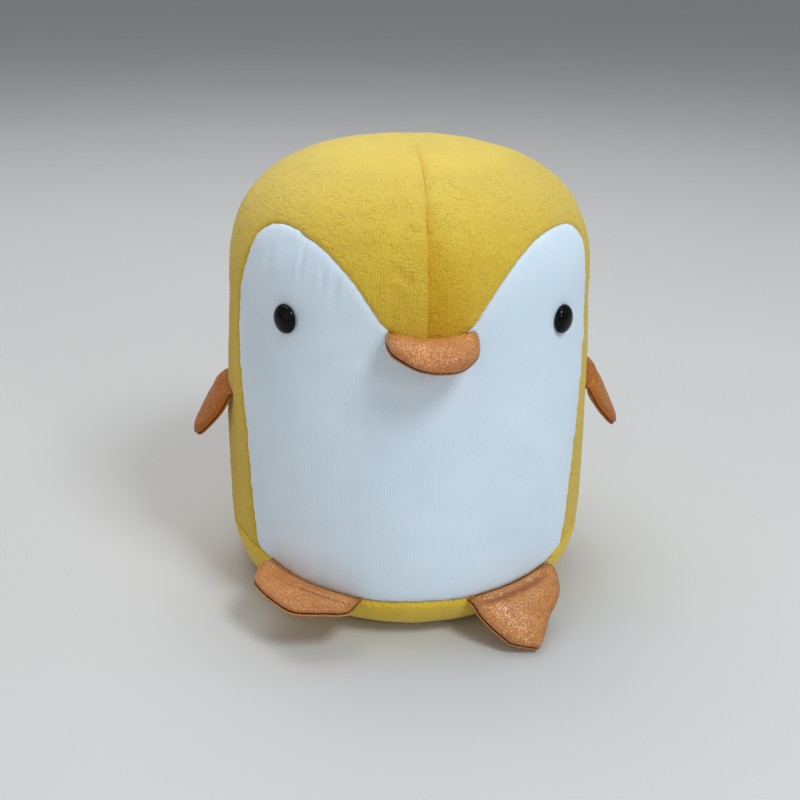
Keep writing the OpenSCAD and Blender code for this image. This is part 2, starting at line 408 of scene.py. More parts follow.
def even_spacing(points, step, closed=False):
    """The same line with its points step apart."""
    pts = np.asarray(points, float)
    if closed:
        pts = np.vstack([pts, pts[:1]])
    length = np.r_[0, np.cumsum(np.linalg.norm(np.diff(pts, axis=0), axis=1))]
    count = max(3, int(round(length[-1] / step)))
    s = np.linspace(0, length[-1], count + 1)
    if closed:
        s = s[:-1]
    return np.stack([np.interp(s, length, pts[:, k]) for k in range(pts.shape[1])], axis=1)


def flat_points(u, w):
    return np.c_[u, w, 0 * u]


def ring_quads(first, rings, count):
    """Faces between rings of count points each, numbered on from first."""
    return [[first + k * count + j, first + k * count + (j + 1) % count,
             first + (k + 1) * count + (j + 1) % count, first + (k + 1) * count + j]
            for k in range(rings - 1) for j in range(count)]


def compact(faces, total):
    """The points in use, and the faces with them numbered afresh."""
    used = np.unique(np.concatenate([np.array(f) for f in faces]))
    fresh = np.full(total, -1)
    fresh[used] = np.arange(len(used))
    return used, [[fresh[i] for i in f] for f in faces]


def mesh_object(name, verts, faces):
    mesh = bpy.data.meshes.new(name)
    mesh.from_pydata((np.asarray(verts) * MM).tolist(), [], [list(map(int, f)) for f in faces])
    return new_object(name, mesh)


def make_piece(name, verts, faces, material, corner_uv=None, tone=None):
    obj = mesh_object(name, verts, faces)
    mesh = obj.data
    if corner_uv is not None:
        layer = mesh.uv_layers.new(name="cloth")
        layer.data.foreach_set("uv", np.asarray(corner_uv, float).ravel())
    # Painted shade, kept per point for the materials to darken their colour by.
    if tone is not None:
        mesh.attributes.new("tone", "FLOAT", "POINT").data.foreach_set("value", tone)
    mesh.polygons.foreach_set("use_smooth", [True] * len(mesh.polygons))
    mesh.materials.append(material)
    mesh.update()
    return obj


def search_tree(points):
    tree = KDTree(len(points))
    for i, p in enumerate(points):
        tree.insert(p, i)
    tree.balance()
    return tree


class Line:
    """Distance from points to a line in space, and how far along it the nearest place is."""

    def __init__(self, points, step=0.6):
        self.pts = even_spacing(points, step)
        self.step = np.linalg.norm(self.pts[1] - self.pts[0])
        self.tree = search_tree(self.pts)

    def near(self, where):
        index = np.array([self.tree.find(p)[1] for p in where])
        best = np.full(len(where), 1e9)
        place = np.zeros(len(where))
        for shift in (-1, 0):
            i = np.clip(index + shift, 0, len(self.pts) - 2)
            a = self.pts[i]
            ab = self.pts[i + 1] - a
            t = np.clip(((where - a) * ab).sum(1) / (ab * ab).sum(1), 0, 1)
            gap = np.linalg.norm(where - a - ab * t[:, None], axis=1)
            closer = gap < best
            best[closer] = gap[closer]
            place[closer] = ((i + t) * self.step)[closer]
        return best, place

    def gap(self, where):
        return self.near(where)[0]


def inside(poly, x, y):
    """True for the points inside a closed flat outline."""
    hit = np.zeros(len(x), bool)
    for (x0, y0), (x1, y1) in zip(poly, np.roll(poly, -1, axis=0)):
        if y0 != y1:
            cross = (y0 > y) != (y1 > y)
            hit ^= cross & (x < (x1 - x0) * (y - y0) / (y1 - y0) + x0)
    return hit


def clip(values, data, faces):
    """Cuts faces where values change sign. Returns the data with the cut's points added, and the
    faces on the positive and on the negative side."""
    data = [tuple(row) for row in data]
    cuts = {}
    kept = {True: [], False: []}

    def cut(a, b):
        p, q = key = (min(a, b), max(a, b))
        if key not in cuts:
            t = values[p] / (values[p] - values[q])
            cuts[key] = len(data)
            data.append(tuple(x + (y - x) * t for x, y in zip(data[p], data[q])))
        return cuts[key]

    for face in faces:
        signs = [bool(values[i] >= 0) for i in face]
        if len(set(signs)) == 1:
            kept[signs[0]].append(face)
            continue
        halves = {True: [], False: []}
        for k, a in enumerate(face):
            after = (k + 1) % len(face)
            halves[signs[k]].append(a)
            if signs[k] != signs[after]:
                c = cut(a, face[after])
                halves[True].append(c)
                halves[False].append(c)
        for side, corners in halves.items():
            if len(corners) > 2:
                kept[side].append(tuple(corners))
    return np.array(data), kept[True], kept[False]


def joined(points, faces):
    """Merges points in one place. Returns points, faces, for each face its old corners, and for
    each point its old number."""
    key = np.round(points / 0.002).astype(np.int64)
    _, first, back = np.unique(key, axis=0, return_index=True, return_inverse=True)
    back = back.ravel()
    new_faces, old_corners = [], []
    for face in faces:
        old = [i for k, i in enumerate(face) if k == 0 or back[i] != back[face[k - 1]]]
        if back[old[0]] == back[old[-1]]:
            old.pop()
        corners = [back[i] for i in old]
        if len(set(corners)) == len(corners) > 2:
            new_faces.append(corners)
            old_corners.append(old)
    used, new_faces = compact(new_faces, len(first))
    return points[first[used]], new_faces, old_corners, first[used]


def shell(points, inner, faces, corner_uv):
    """Closed cloth between an outer surface and its inner copy."""
    count = len(points)
    edges = {(a, face[(k + 1) % len(face)]): (f, k)
             for f, face in enumerate(faces) for k, a in enumerate(face)}
    out_faces = [list(f) for f in faces] + [[i + count for i in reversed(f)] for f in faces]
    uv = [p for face in corner_uv for p in face]
    uv += [p for face in corner_uv for p in reversed(face)]
    for (a, b), (f, k) in edges.items():
        if (b, a) not in edges:
            out_faces.append([b, a, a + count, b + count])
            here, there = corner_uv[f][k], corner_uv[f][(k + 1) % len(faces[f])]
            uv += [there, here, here, there]
    return np.vstack([points, inner]), out_faces, uv


def cloth_swell(points, faces, voxel, pressure, cap, held):
    """Runs a cloth simulation on a closed form, blown up from inside. held(points) gives 1 where
    seams hold the cloth. Returns a function that says how far any points near that form move,
    which is never more than cap."""
    obj = mesh_object("swell", points, faces)

    def evaluated():
        return obj.evaluated_get(bpy.context.evaluated_depsgraph_get())

    def positions(mesh):
        flat = np.empty(len(mesh.vertices) * 3)
        mesh.vertices.foreach_get("co", flat)
        return flat.reshape(-1, 3)

    remesh = obj.modifiers.new("remesh", "REMESH")
    remesh.mode = "VOXEL"
    remesh.voxel_size = voxel * MM
    even = bpy.data.meshes.new_from_object(evaluated())
    obj.modifiers.clear()
    obj.data = even
    rest = positions(even)
    group = obj.vertex_groups.new(name="held")
    for i, weight in enumerate(held(rest / MM)):
        if weight > 0.01:
            group.add([i], float(weight), "REPLACE")
    cloth = obj.modifiers.new("cloth", "CLOTH")
    how = cloth.settings
    how.quality = 5
    how.use_pressure = True
    how.uniform_pressure_force = pressure
    how.effector_weights.gravity = 0
    how.vertex_group_mass = "held"
    cloth.collision_settings.use_collision = False
    cloth.point_cache.frame_start = 1
    cloth.point_cache.frame_end = SWELL_FRAMES
    for number in range(1, SWELL_FRAMES + 1):
        SCENE.frame_set(number)
    move = (positions(evaluated().to_mesh()) - rest) / MM
    bpy.data.objects.remove(obj)
    SCENE.frame_set(1)
    far = np.linalg.norm(move, axis=1)
    move *= (cap * np.tanh(far / cap) / np.maximum(far, 1e-9))[:, None]
    tree = search_tree(rest / MM)

    def moves(where):
        out = np.empty_like(where)
        for i, p in enumerate(where):
            near = tree.find_n(p, 8)
            weight = np.array([1 / (gap + 0.3 * voxel) ** 2 for _, _, gap in near])
            out[i] = (move[[k for _, k, _ in near]] * weight[:, None]).sum(0) / weight.sum()
        return out

    return moves


# ---- body form

def form_profile():
    """Half profile of the stuffed body from the middle of its underside to its crown, as radius
    and height every 0.5 mm, with the stretches' meetings softened."""
    t = np.linspace(0, np.pi / 2, 120)
    u = np.linspace(0, 1, 80)[1:]
    flat = np.c_[np.linspace(0, UNDER_R, 60, endpoint=False), np.zeros(60)]
    skirt = np.c_[UNDER_R + (BELLY_R - UNDER_R) * np.sin(t) ** (2 / SKIRT_POWER),
                  SKIRT_H * (1 - np.cos(t) ** (2 / SKIRT_POWER))]
    side = np.c_[BELLY_R + (SHOULDER_R - BELLY_R) * u + np.sin(np.pi * u),
                 SKIRT_H + (SHOULDER_Z - SKIRT_H) * u]
    crown = np.c_[SHOULDER_R * np.cos(t) ** (2 / CROWN_POWER),
                  SHOULDER_Z + CROWN_H * np.sin(t) ** (2 / CROWN_POWER)][1:]
    line = even_spacing(np.vstack([flat, skirt, side, crown]), 0.5)
    reach = 24
    mirror = np.array([-1, 1])
    wide = np.vstack([line[1:reach][::-1] * mirror, line, line[-reach:-1][::-1] * mirror])
    kernel = np.exp(-0.5 * (np.arange(-reach + 1, reach) / 6.0) ** 2)
    kernel /= kernel.sum()
    return np.stack([np.convolve(wide[:, k], kernel, "valid") for k in (0, 1)], axis=1)


PROFILE = form_profile()
PROFILE[[0, -1], 0] = 0
LENGTHS = np.r_[0, np.cumsum(np.linalg.norm(np.diff(PROFILE, axis=0), axis=1))]
TOP = LENGTHS[-1]
SLOPE = np.gradient(PROFILE, LENGTHS, axis=0)
SLOPE /= np.linalg.norm(SLOPE, axis=1)[:, None]
RISING = PROFILE[int(np.argmax(PROFILE[:, 1] > 0.5)):, 1]


def on_body(azimuth, s, out=0.0):
    """Points on the body's form at an azimuth and a length along the profile."""
    a = np.radians(azimuth)
    r, z = (np.interp(s, LENGTHS, PROFILE[:, k]) for k in (0, 1))
    nr = np.interp(s, LENGTHS, SLOPE[:, 1])
    nz = -np.interp(s, LENGTHS, SLOPE[:, 0])
    r = r + nr * out
    return np.stack([r * np.sin(a), -r * np.cos(a), z + nz * out], axis=-1)


def normal_at(azimuth, s):
    return on_body(azimuth, s, 1.0) - on_body(azimuth, s)


def length_at(z):
    return np.interp(z, RISING, LENGTHS[-len(RISING):])


def radius_at(z):
    return np.interp(z, RISING, PROFILE[-len(RISING):, 0])


# Outline of the knit front on its wider half, from under the beak up over the lobe and down
# the side, as azimuth and height.
FRONT_EDGE = smooth_curve([
    (0, 141), (6.5, 141.6), (12.2, 146), (18, 157), (24.5, 167), (33, 174.7), (41, 178.2),
    (49, 179.3), (56, 178), (61.2, 174.3), (64.4, 167), (65.4, 157), (67.0, 144), (67.7, 130),
    (66.5, 117), (64.2, 101), (61.8, 86), (60.0, 70), (58.5, 54), (57.0, 38), (54.9, 26),
    (52.2, 12)])


def front_edge(side):
    """The outline on one side. The sewn front sits a little towards the toy's right."""
    az, z = FRONT_EDGE[:, 0], FRONT_EDGE[:, 1]
    outer = smooth_step(az, 35, 55)
    low = smooth_step(-z, -172, -148)
    shift = 0.8 * (1 - outer) + outer * (-0.5 + 3.0 * low)
    rise = (1.4 if side < 0 else 0.0) * outer * smooth_step(z, 160, 172)
    return np.c_[side * az - shift * smooth_step(az, 0, 12), z + rise]


# Height of the base seam at each azimuth.
BASE_SEAM = np.array([(0, 21.4), (12, 20.8), (22, 21.0), (35, 22.4), (45, 24.4), (53, 27.6),
                      (62, 29), (180, 29)])


def base_seam_z(azimuth):
    a = np.abs(np.asarray(azimuth, float))
    before, here, after = (np.interp(a + step, *BASE_SEAM.T) for step in (-3, 0, 3))
    return (before + 2 * here + after) / 4


def seam_points(az, z):
    return on_body(az, length_at(z))


EDGES = {side: front_edge(side) for side in (1, -1)}
OUTLINE = np.vstack([EDGES[1], EDGES[-1][::-1]])
front_lines = [Line(seam_points(*edge[edge[:, 1] > base_seam_z(edge[:, 0])].T))
               for edge in EDGES.values()]
ring = np.linspace(-180, 180, 721)
base_line = Line(seam_points(ring, base_seam_z(ring)))


def centre_shift(y):
    """How far the centre seam strays to the toy's right at the front, by depth."""
    return -1.7 * (np.clip(-y, 0, 82) / 82) ** 1.5


crown_s = np.linspace(length_at(SEAM_FRONT_Z), TOP, 300)
front_centre = on_body(0 * crown_s, crown_s)
front_centre[:, 0] += centre_shift(front_centre[:, 1])
back_s = np.linspace(TOP, length_at(SEAM_BACK_Z), 400)
centre_line = Line(np.vstack([front_centre, on_body(180 + 0 * back_s, back_s)[1:]]))

# Each eye's azimuth and height, and the azimuth that it looks to.
EYES = {"eye_left": (45.4, 141.2, 47.5), "eye_right": (-44.3, 143.8, -52.5)}
eye_seats = {name: seam_points(az, z) for name, (az, z, _) in EYES.items()}


def lumps(where, seed, waves, size):
    """Slow unevenness: a sum of plane waves with set lengths, from -1 to 1 or so."""
    pick = np.random.default_rng(seed)
    total = np.zeros(len(where))
    for _ in range(waves):
        way = pick.normal(size=3)
        way /= np.linalg.norm(way)
        length = size * pick.uniform(0.7, 1.6)
        total += np.sin(where @ way * 2 * np.pi / length + pick.uniform(0, 6.28))
    return total / math.sqrt(waves)


def pucker(place, seed, pitch):
    """Uneven ripple along a seam, from -1 to 1 or so."""
    pick = np.random.default_rng(seed)
    return sum(np.sin(place * 2 * np.pi / (pitch * share) + pick.uniform(0, 6.28))
               for share in (0.62, 1.0, 1.57, 2.3)) / 2


# Creases in the cloth: azimuth and height of both ends, depth and width.
PLUSH_CREASES = [(-13, 171, -4.5, 163, 0.75, 1.5), (-8, 183, -2.5, 182, 0.6, 1.2),
                 (-20, 186, -6, 189, 0.35, 4.0), (9, 172, 5, 158, 0.3, 2.5),
                 (150, 120, 160, 96, 0.5, 3.0), (-158, 84, -150, 62, 0.5, 3.0),
                 (100, 60, 112, 44, 0.5, 2.6), (-104, 66, -96, 46, 0.5, 2.6)]
KNIT_CREASES = [(-39.4, 178, -39.8, 159, 1.0, 0.85), (-31.5, 171, -32.3, 157, 0.55, 1.0),
                (-27, 165, -28.5, 153, 0.5, 1.1), (31, 172, 33, 160, 0.4, 1.3),
                (-52, 174, -53, 158, 0.4, 2.2), (14, 138, 30, 128, 0.25, 3.0),
                (-14, 138, -28, 130, 0.25, 3.0)]


def creases(az, z, marks):
    total = np.zeros(len(az))
    flat = np.c_[np.radians(az) * SHOULDER_R, z]
    for az0, z0, az1, z1, depth, width in marks:
        a = np.array([math.radians(az0) * SHOULDER_R, z0])
        ab = np.array([math.radians(az1) * SHOULDER_R, z1]) - a
        t = np.clip(((flat - a) @ ab) / (ab @ ab), 0, 1)
        gap = np.linalg.norm(flat - a - t[:, None] * ab, axis=1)
        fade = np.sin(np.pi * np.clip(t, 0.03, 0.97))
        total -= depth * fade * (dent(gap, 1, width) - dent(gap - 2.1 * width, 0.55, width))
    return total


# ---- body panels

def panel_grid(step=1.5):
    columns = int(round(2 * np.pi * BELLY_R / step / 4)) * 4
    rows = int(round(TOP / step))
    az, s = np.meshgrid(np.linspace(-180, 180, columns + 1), np.linspace(0, TOP, rows + 1))
    index = np.arange(az.size).reshape(az.shape)
    quads = np.stack([index[:-1, :-1], index[:-1, 1:], index[1:, 1:], index[1:, :-1]], axis=-1)
    return np.c_[az.ravel(), s.ravel()], [tuple(q) for q in quads.reshape(-1, 4)]


def sew_panels():
    """Cuts the body's surface along its seams. Returns its points as azimuth and length, and the
    faces of each panel."""
    data, faces = panel_grid()
    to_base = base_line.gap(on_body(*data.T))
    below = data[:, 1] < length_at(base_seam_z(data[:, 0]))
    data, base, upper = clip(np.where(below, to_base, -to_base), data, faces)
    where = on_body(*data.T)
    to_front = np.minimum(*(line.gap(where) for line in front_lines))
    covered = inside(OUTLINE, data[:, 0], where[:, 2]) & (where[:, 1] < 0)
    data, front, sides = clip(np.where(covered, to_front, -to_front), data, upper)
    where = on_body(*data.T)
    offset = where[:, 0] - np.where(where[:, 1] < 0, centre_shift(where[:, 1]), 0)
    offset[np.abs(np.abs(data[:, 0]) - 180) < 1e-6] = 0
    front_half = [f for f in sides if max(abs(data[i][0]) for i in f) < 90]
    rest = [f for f in sides if max(abs(data[i][0]) for i in f) >= 90]
    data, left, right = clip(offset, data, front_half)
    for f in rest:
        (left if sum(data[i][0] for i in f) > 0 else right).append(f)
    return data, {"base": base, "front": front, "left": left, "right": right}


panel_data, panels = sew_panels()


def held_by_seams(where):
    gap = np.minimum.reduce([line.gap(where) for line in (*front_lines, base_line, centre_line)])
    return np.where(where[:, 2] < 2.0, 1.0, 1 - smooth_step(gap, 3, 9))


def revolved(inset, columns, rows):
    """Closed form inside the body's surface."""
    az = np.linspace(-180, 180, columns, endpoint=False)
    grid_az, grid_s = np.meshgrid(az, np.linspace(0, TOP, rows + 1)[1:-1])
    points = on_body(grid_az.ravel(), grid_s.ravel(), -inset)
    low, high = len(points), len(points) + 1
    points = np.vstack([points, on_body(0.0, 0.0, -inset), on_body(0.0, TOP, -inset)])
    faces = ring_quads(0, rows - 1, columns)
    for j in range(columns):
        faces.append((low, (j + 1) % columns, j))
    for j in range(columns):
        faces.append((high, low - columns + j, low - columns + (j + 1) % columns))
    return points, faces


body_swell = cloth_swell(*revolved(0.0, 96, 64), voxel=5.5, pressure=4.0, cap=1.6,
                         held=held_by_seams)


def seam_dip(z):
    """How deep the cloth is drawn in at the centre seam, less over the crown."""
    return 0.85 - 0.7 * smooth_step(z, 165, 203)


def relief(region, az, where):
    """How far the cloth of a panel stands off the body's form."""
    z = where[:, 2]
    (gap_a, place_a), (gap_b, place_b) = (line.near(where) for line in front_lines)
    to_front = np.minimum(gap_a, gap_b)
    on_front = np.where(gap_a < gap_b, place_a, place_b + 400)
    to_base, on_base = base_line.near(where)
    to_centre, on_centre = centre_line.near(where)
    out = 0.22 * lumps(where, 3, 7, 48) + 0.10 * lumps(where, 5, 8, 17)
    if region == "front":
        out -= dent(to_front, 0.65, 0.8, 1.5) + dent(to_front, 0.15, 5, 1)
        out += dent(to_front, 0.16, 3.5, 1) * pucker(on_front, 11, 9.0)
        out -= dent(to_base, 1.1, 1.0, 1.2)
        out += dent(to_base, 0.14, 3.0, 1) * pucker(on_base, 12, 6.0)
        out += creases(az, z, KNIT_CREASES)
        for seat in eye_seats.values():
            out -= dent(np.linalg.norm(where - seat, axis=1), 0.5, 8.2, 4)
    elif region == "base":
        out -= dent(to_base, 1.2, 0.9, 1.2)
        out += dent(to_base - 2.6, 0.3, 1.9)
        out += dent(to_base, 0.14, 3.5, 1) * pucker(on_base, 13, 7.0)
    else:
        out -= dent(to_front, 0.5, 0.6, 1.6)
        out += dent(to_front - 2.2, 0.10, 1.6)
        out += dent(to_front, 0.12, 4, 1) * pucker(on_front, 14, 8.0)
        out -= dent(to_base, 1.2, 0.9, 1.2)
        out += dent(to_base, 0.14, 4, 1) * pucker(on_base, 15, 8.0)
        out -= dent(to_centre, 0.38, 0.6, 1.5)
        out -= dent(to_centre, seam_dip(z), 7.5 if region == "left" else 2.6)
        out += dent(np.linalg.norm(where[:, :2], axis=1), 0.8, 30.0) * (z > 150)
        out += dent(to_centre, 0.13, 4, 1) * pucker(on_centre, 16, 8.5)
        out += creases(az, z, PLUSH_CREASES)
    rest = smooth_step(z, 0.0, 3.0)
    return np.where(z < 3, out * rest + np.maximum(0, 0.15 * (1 - rest)), out)


def body_panel(name, region, material, node):
    used, faces = compact(panels[region], len(panel_data))
    data = panel_data[used]
    points, faces, corners, kept = joined(on_body(*data.T), faces)
    az, s = data[kept].T
    uv_all = np.c_[np.radians(data[:, 0]) * SHOULDER_R, data[:, 1]] * MM
    corner_uv = [[tuple(uv_all[i]) for i in face] for face in corners]
    z = points[:, 2]
    normal = normal_at(az, s)
    bulge = (body_swell(points) * normal).sum(1)
    lift = (0.45 * (bulge - np.median(bulge)) * smooth_step(z, 3, 14)
            * (1 - smooth_step(z, 184, 203)))
    out = (relief(region, az, points) + lift)[:, None]
    outer = points + normal * out
    inner = points + normal * (out - CLOTH_T)
    outer[:, 2] = np.maximum(outer[:, 2], 0.0)
    inner[:, 2] = np.maximum(inner[:, 2], CLOTH_T)
    verts, all_faces, uv = shell(outer, inner, faces, corner_uv)
    # Painted shade beside the seams and low on the sides; left of the centre seam in front the
    # pile also lies another way.
    to_left = region == "left"
    reach = 2.5 + 13.0 * smooth_step(195 - z, 0, 45) * to_left
    tone = (dent(centre_line.gap(points), 0.25 + 0.75 * to_left, reach) * (points[:, 1] < -10)
            + dent(base_line.gap(points), 0.2, 3)
            + 0.65 * smooth_step(np.abs(az), 66, 84) * (1 - smooth_step(z, 110, 175)))
    obj = make_piece(name, verts, all_faces, material, uv, np.tile(tone, 2))
    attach(obj, "torso")
    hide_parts(node)


body_panel("front_knit_panel", "front", KNIT, "front_panel")
body_panel("side_plush_left", "left", PLUSH, "side_panel_left")
body_panel("side_plush_right", "right", PLUSH, "side_panel_right")
body_panel("base_plush", "base", PLUSH_PAINTED_LIGHTER, "base_panel")

fill_points, fill_faces = revolved(4.2, 120, 90)
fill_points += (fill_points / np.linalg.norm(fill_points, axis=1)[:, None]
                * 0.5 * lumps(fill_points, 8, 9, 14)[:, None])
fill_points[:, 2] = np.maximum(fill_points[:, 2], 2.2)
filling = make_piece("fibre_filling", fill_points, fill_faces, FILLING)
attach(filling, "torso")
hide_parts("body_filling")


# ---- stitches

def stitch_mesh(stitches, radius, arch):
    """Short threads from start to end, arched outwards, as one mesh. Its last value is 1 at the
    threads' ends."""
    sides, rings = 8, 9
    verts, faces, at_ends = [], [], []
    for a, b, out in stitches:
        way = (b - a) / np.linalg.norm(b - a)
        across = np.cross(out, way)
        across /= np.linalg.norm(across)
        up = np.cross(way, across)
        first = len(verts)
        for k in range(rings):
            t = k / (rings - 1)
            swell = math.sin(math.pi * t)
            centre = a + (b - a) * t + up * arch * swell
            thick = radius * (0.55 + 0.45 * swell ** 0.5)
            at_ends += [float(min(k, rings - 1 - k) < 2)] * sides
            for j in range(sides):
                ang = 2 * math.pi * j / sides + 1.6 * t
                verts.append(centre + thick * (across * math.cos(ang) + up * math.sin(ang)))
        faces += ring_quads(first, rings, sides)
        faces.append([first + j for j in reversed(range(sides))])
        faces.append([first + (rings - 1) * sides + j for j in range(sides)])
    return np.array(verts), faces, np.array(at_ends)


def seam_stitches(name, line, start, end, pitch, length, lean, sink, radius, arch, material):
    """Stitches along a seam line between two distances along it."""
    pick = np.random.default_rng(21)
    stitches = []
    for k in range(int((end - start) / pitch)):
        s = start + (k + 0.5) * pitch + pick.uniform(-0.12, 0.12)
        i = int(s / line.step)
        here = line.pts[i]
        way = line.pts[min(i + 2, len(line.pts) - 1)] - line.pts[max(i - 2, 0)]
        way /= np.linalg.norm(way)
        out = normal_at(math.degrees(math.atan2(here[0], -here[1])),
                        length_at(here[2]) if here[2] < BODY_H - 0.3 else TOP)
        centre = here - out * (sink(here[2]) + pick.uniform(-0.06, 0.06))
        slant = math.radians(lean + pick.uniform(-8, 8))
        half = (way * math.cos(slant) + np.cross(out, way) * math.sin(slant)) * length / 2
        stitches.append((centre - half - out * 0.25, centre + half - out * 0.25, out))
    # Painted shade on the yellow threads' ends, where they go into their holes.
    verts, faces, painted_hole_shade = stitch_mesh(stitches, radius, arch)
    obj = make_piece(name, verts, faces, material, tone=painted_hole_shade * (material is THREAD))
    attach(obj, "torso")
    return obj


def base_distance(azimuth):
    """Distance along the base seam's line to an azimuth."""
    return base_line.near(seam_points(azimuth, base_seam_z(azimuth))[None])[1][0]


base_stitches = seam_stitches(
    "base_seam_stitches", base_line, base_distance(-52), base_distance(50), pitch=2.8,
    length=2.1, lean=24, sink=lambda z: 0.30, radius=0.28, arch=0.35, material=THREAD)
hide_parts("base_seam_thread")
seam_stitches(
    "centre_seam_stitches", centre_line, 1.0, len(centre_line.pts) * centre_line.step - 2.0,
    pitch=2.4, length=2.3, lean=6, sink=lambda z: 0.30 + seam_dip(z), radius=0.24, arch=0.12,
    material=SEAM_THREAD)


# ---- eyes

def heading(azimuth):
    a = math.radians(azimuth)
    return np.array([math.sin(a), -math.cos(a), 0.0])


UP = np.array([0.0, 0.0, 1.0])


def lathe(profile, segments):
    """Closed turned form: profile is radius and height from the axis back to the axis."""
    ang = np.linspace(0, 2 * np.pi, segments, endpoint=False)
    verts = [(0, 0, profile[0][1])]
    for r, h in profile[1:-1]:
        verts += [(r * math.cos(a), r * math.sin(a), h) for a in ang]
    end = len(verts)
    verts.append((0, 0, profile[-1][1]))
    faces = [[0, 1 + j, 1 + (j + 1) % segments] for j in range(segments)]
    faces += [[a, d, c, b] for a, b, c, d in ring_quads(1, len(profile) - 2, segments)]
    last = end - segments
    faces += [[last + j, end, last + (j + 1) % segments] for j in range(segments)]
    return np.array(verts, float), faces


def safety_eye(name):
    dome = [(6.2 * math.sin(t) ** 0.96, -0.2 + 3.4 * math.cos(t))
            for t in np.linspace(0, math.pi / 2, 26)]
    dome[0] = (0, dome[0][1])
    rim = [(6.18, -0.5), (6.05, -0.75), (5.7, -0.9), (4.4, -0.9), (2.35, -0.95), (2.05, -1.3)]
    barbs = [(r, -3.9 - 1.4 * k - drop) for k in range(7)
             for r, drop in ((2.0, 0), (2.0, 0.55), (1.76, 0.85), (1.76, 1.2))]
    tip = [(1.9, -13.6), (1.2, -13.95), (0, -14)]
    verts, faces = lathe(dome + rim + barbs + tip, 64)
    look = EYES[name][2]
    tilt = math.radians(3)
    out = heading(look) * math.cos(tilt) + UP * math.sin(tilt)
    up = UP * math.cos(tilt) - heading(look) * math.sin(tilt)
    points = (eye_seats[name] + out * 0.45 + verts[:, :1] * heading(look + 90)
              + verts[:, 1:2] * up + verts[:, 2:] * out)
    obj = make_piece("safety_" + name, points, faces, EYE)
    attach(obj, "torso")
    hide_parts(name)


for eye_name in EYES:
    safety_eye(eye_name)
for node_name in ("eye_washer_left", "eye_washer_right"):
    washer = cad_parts[node_name]
    washer.data.materials.clear()
    washer.data.materials.append(WASHER)


# ---- padded flaps

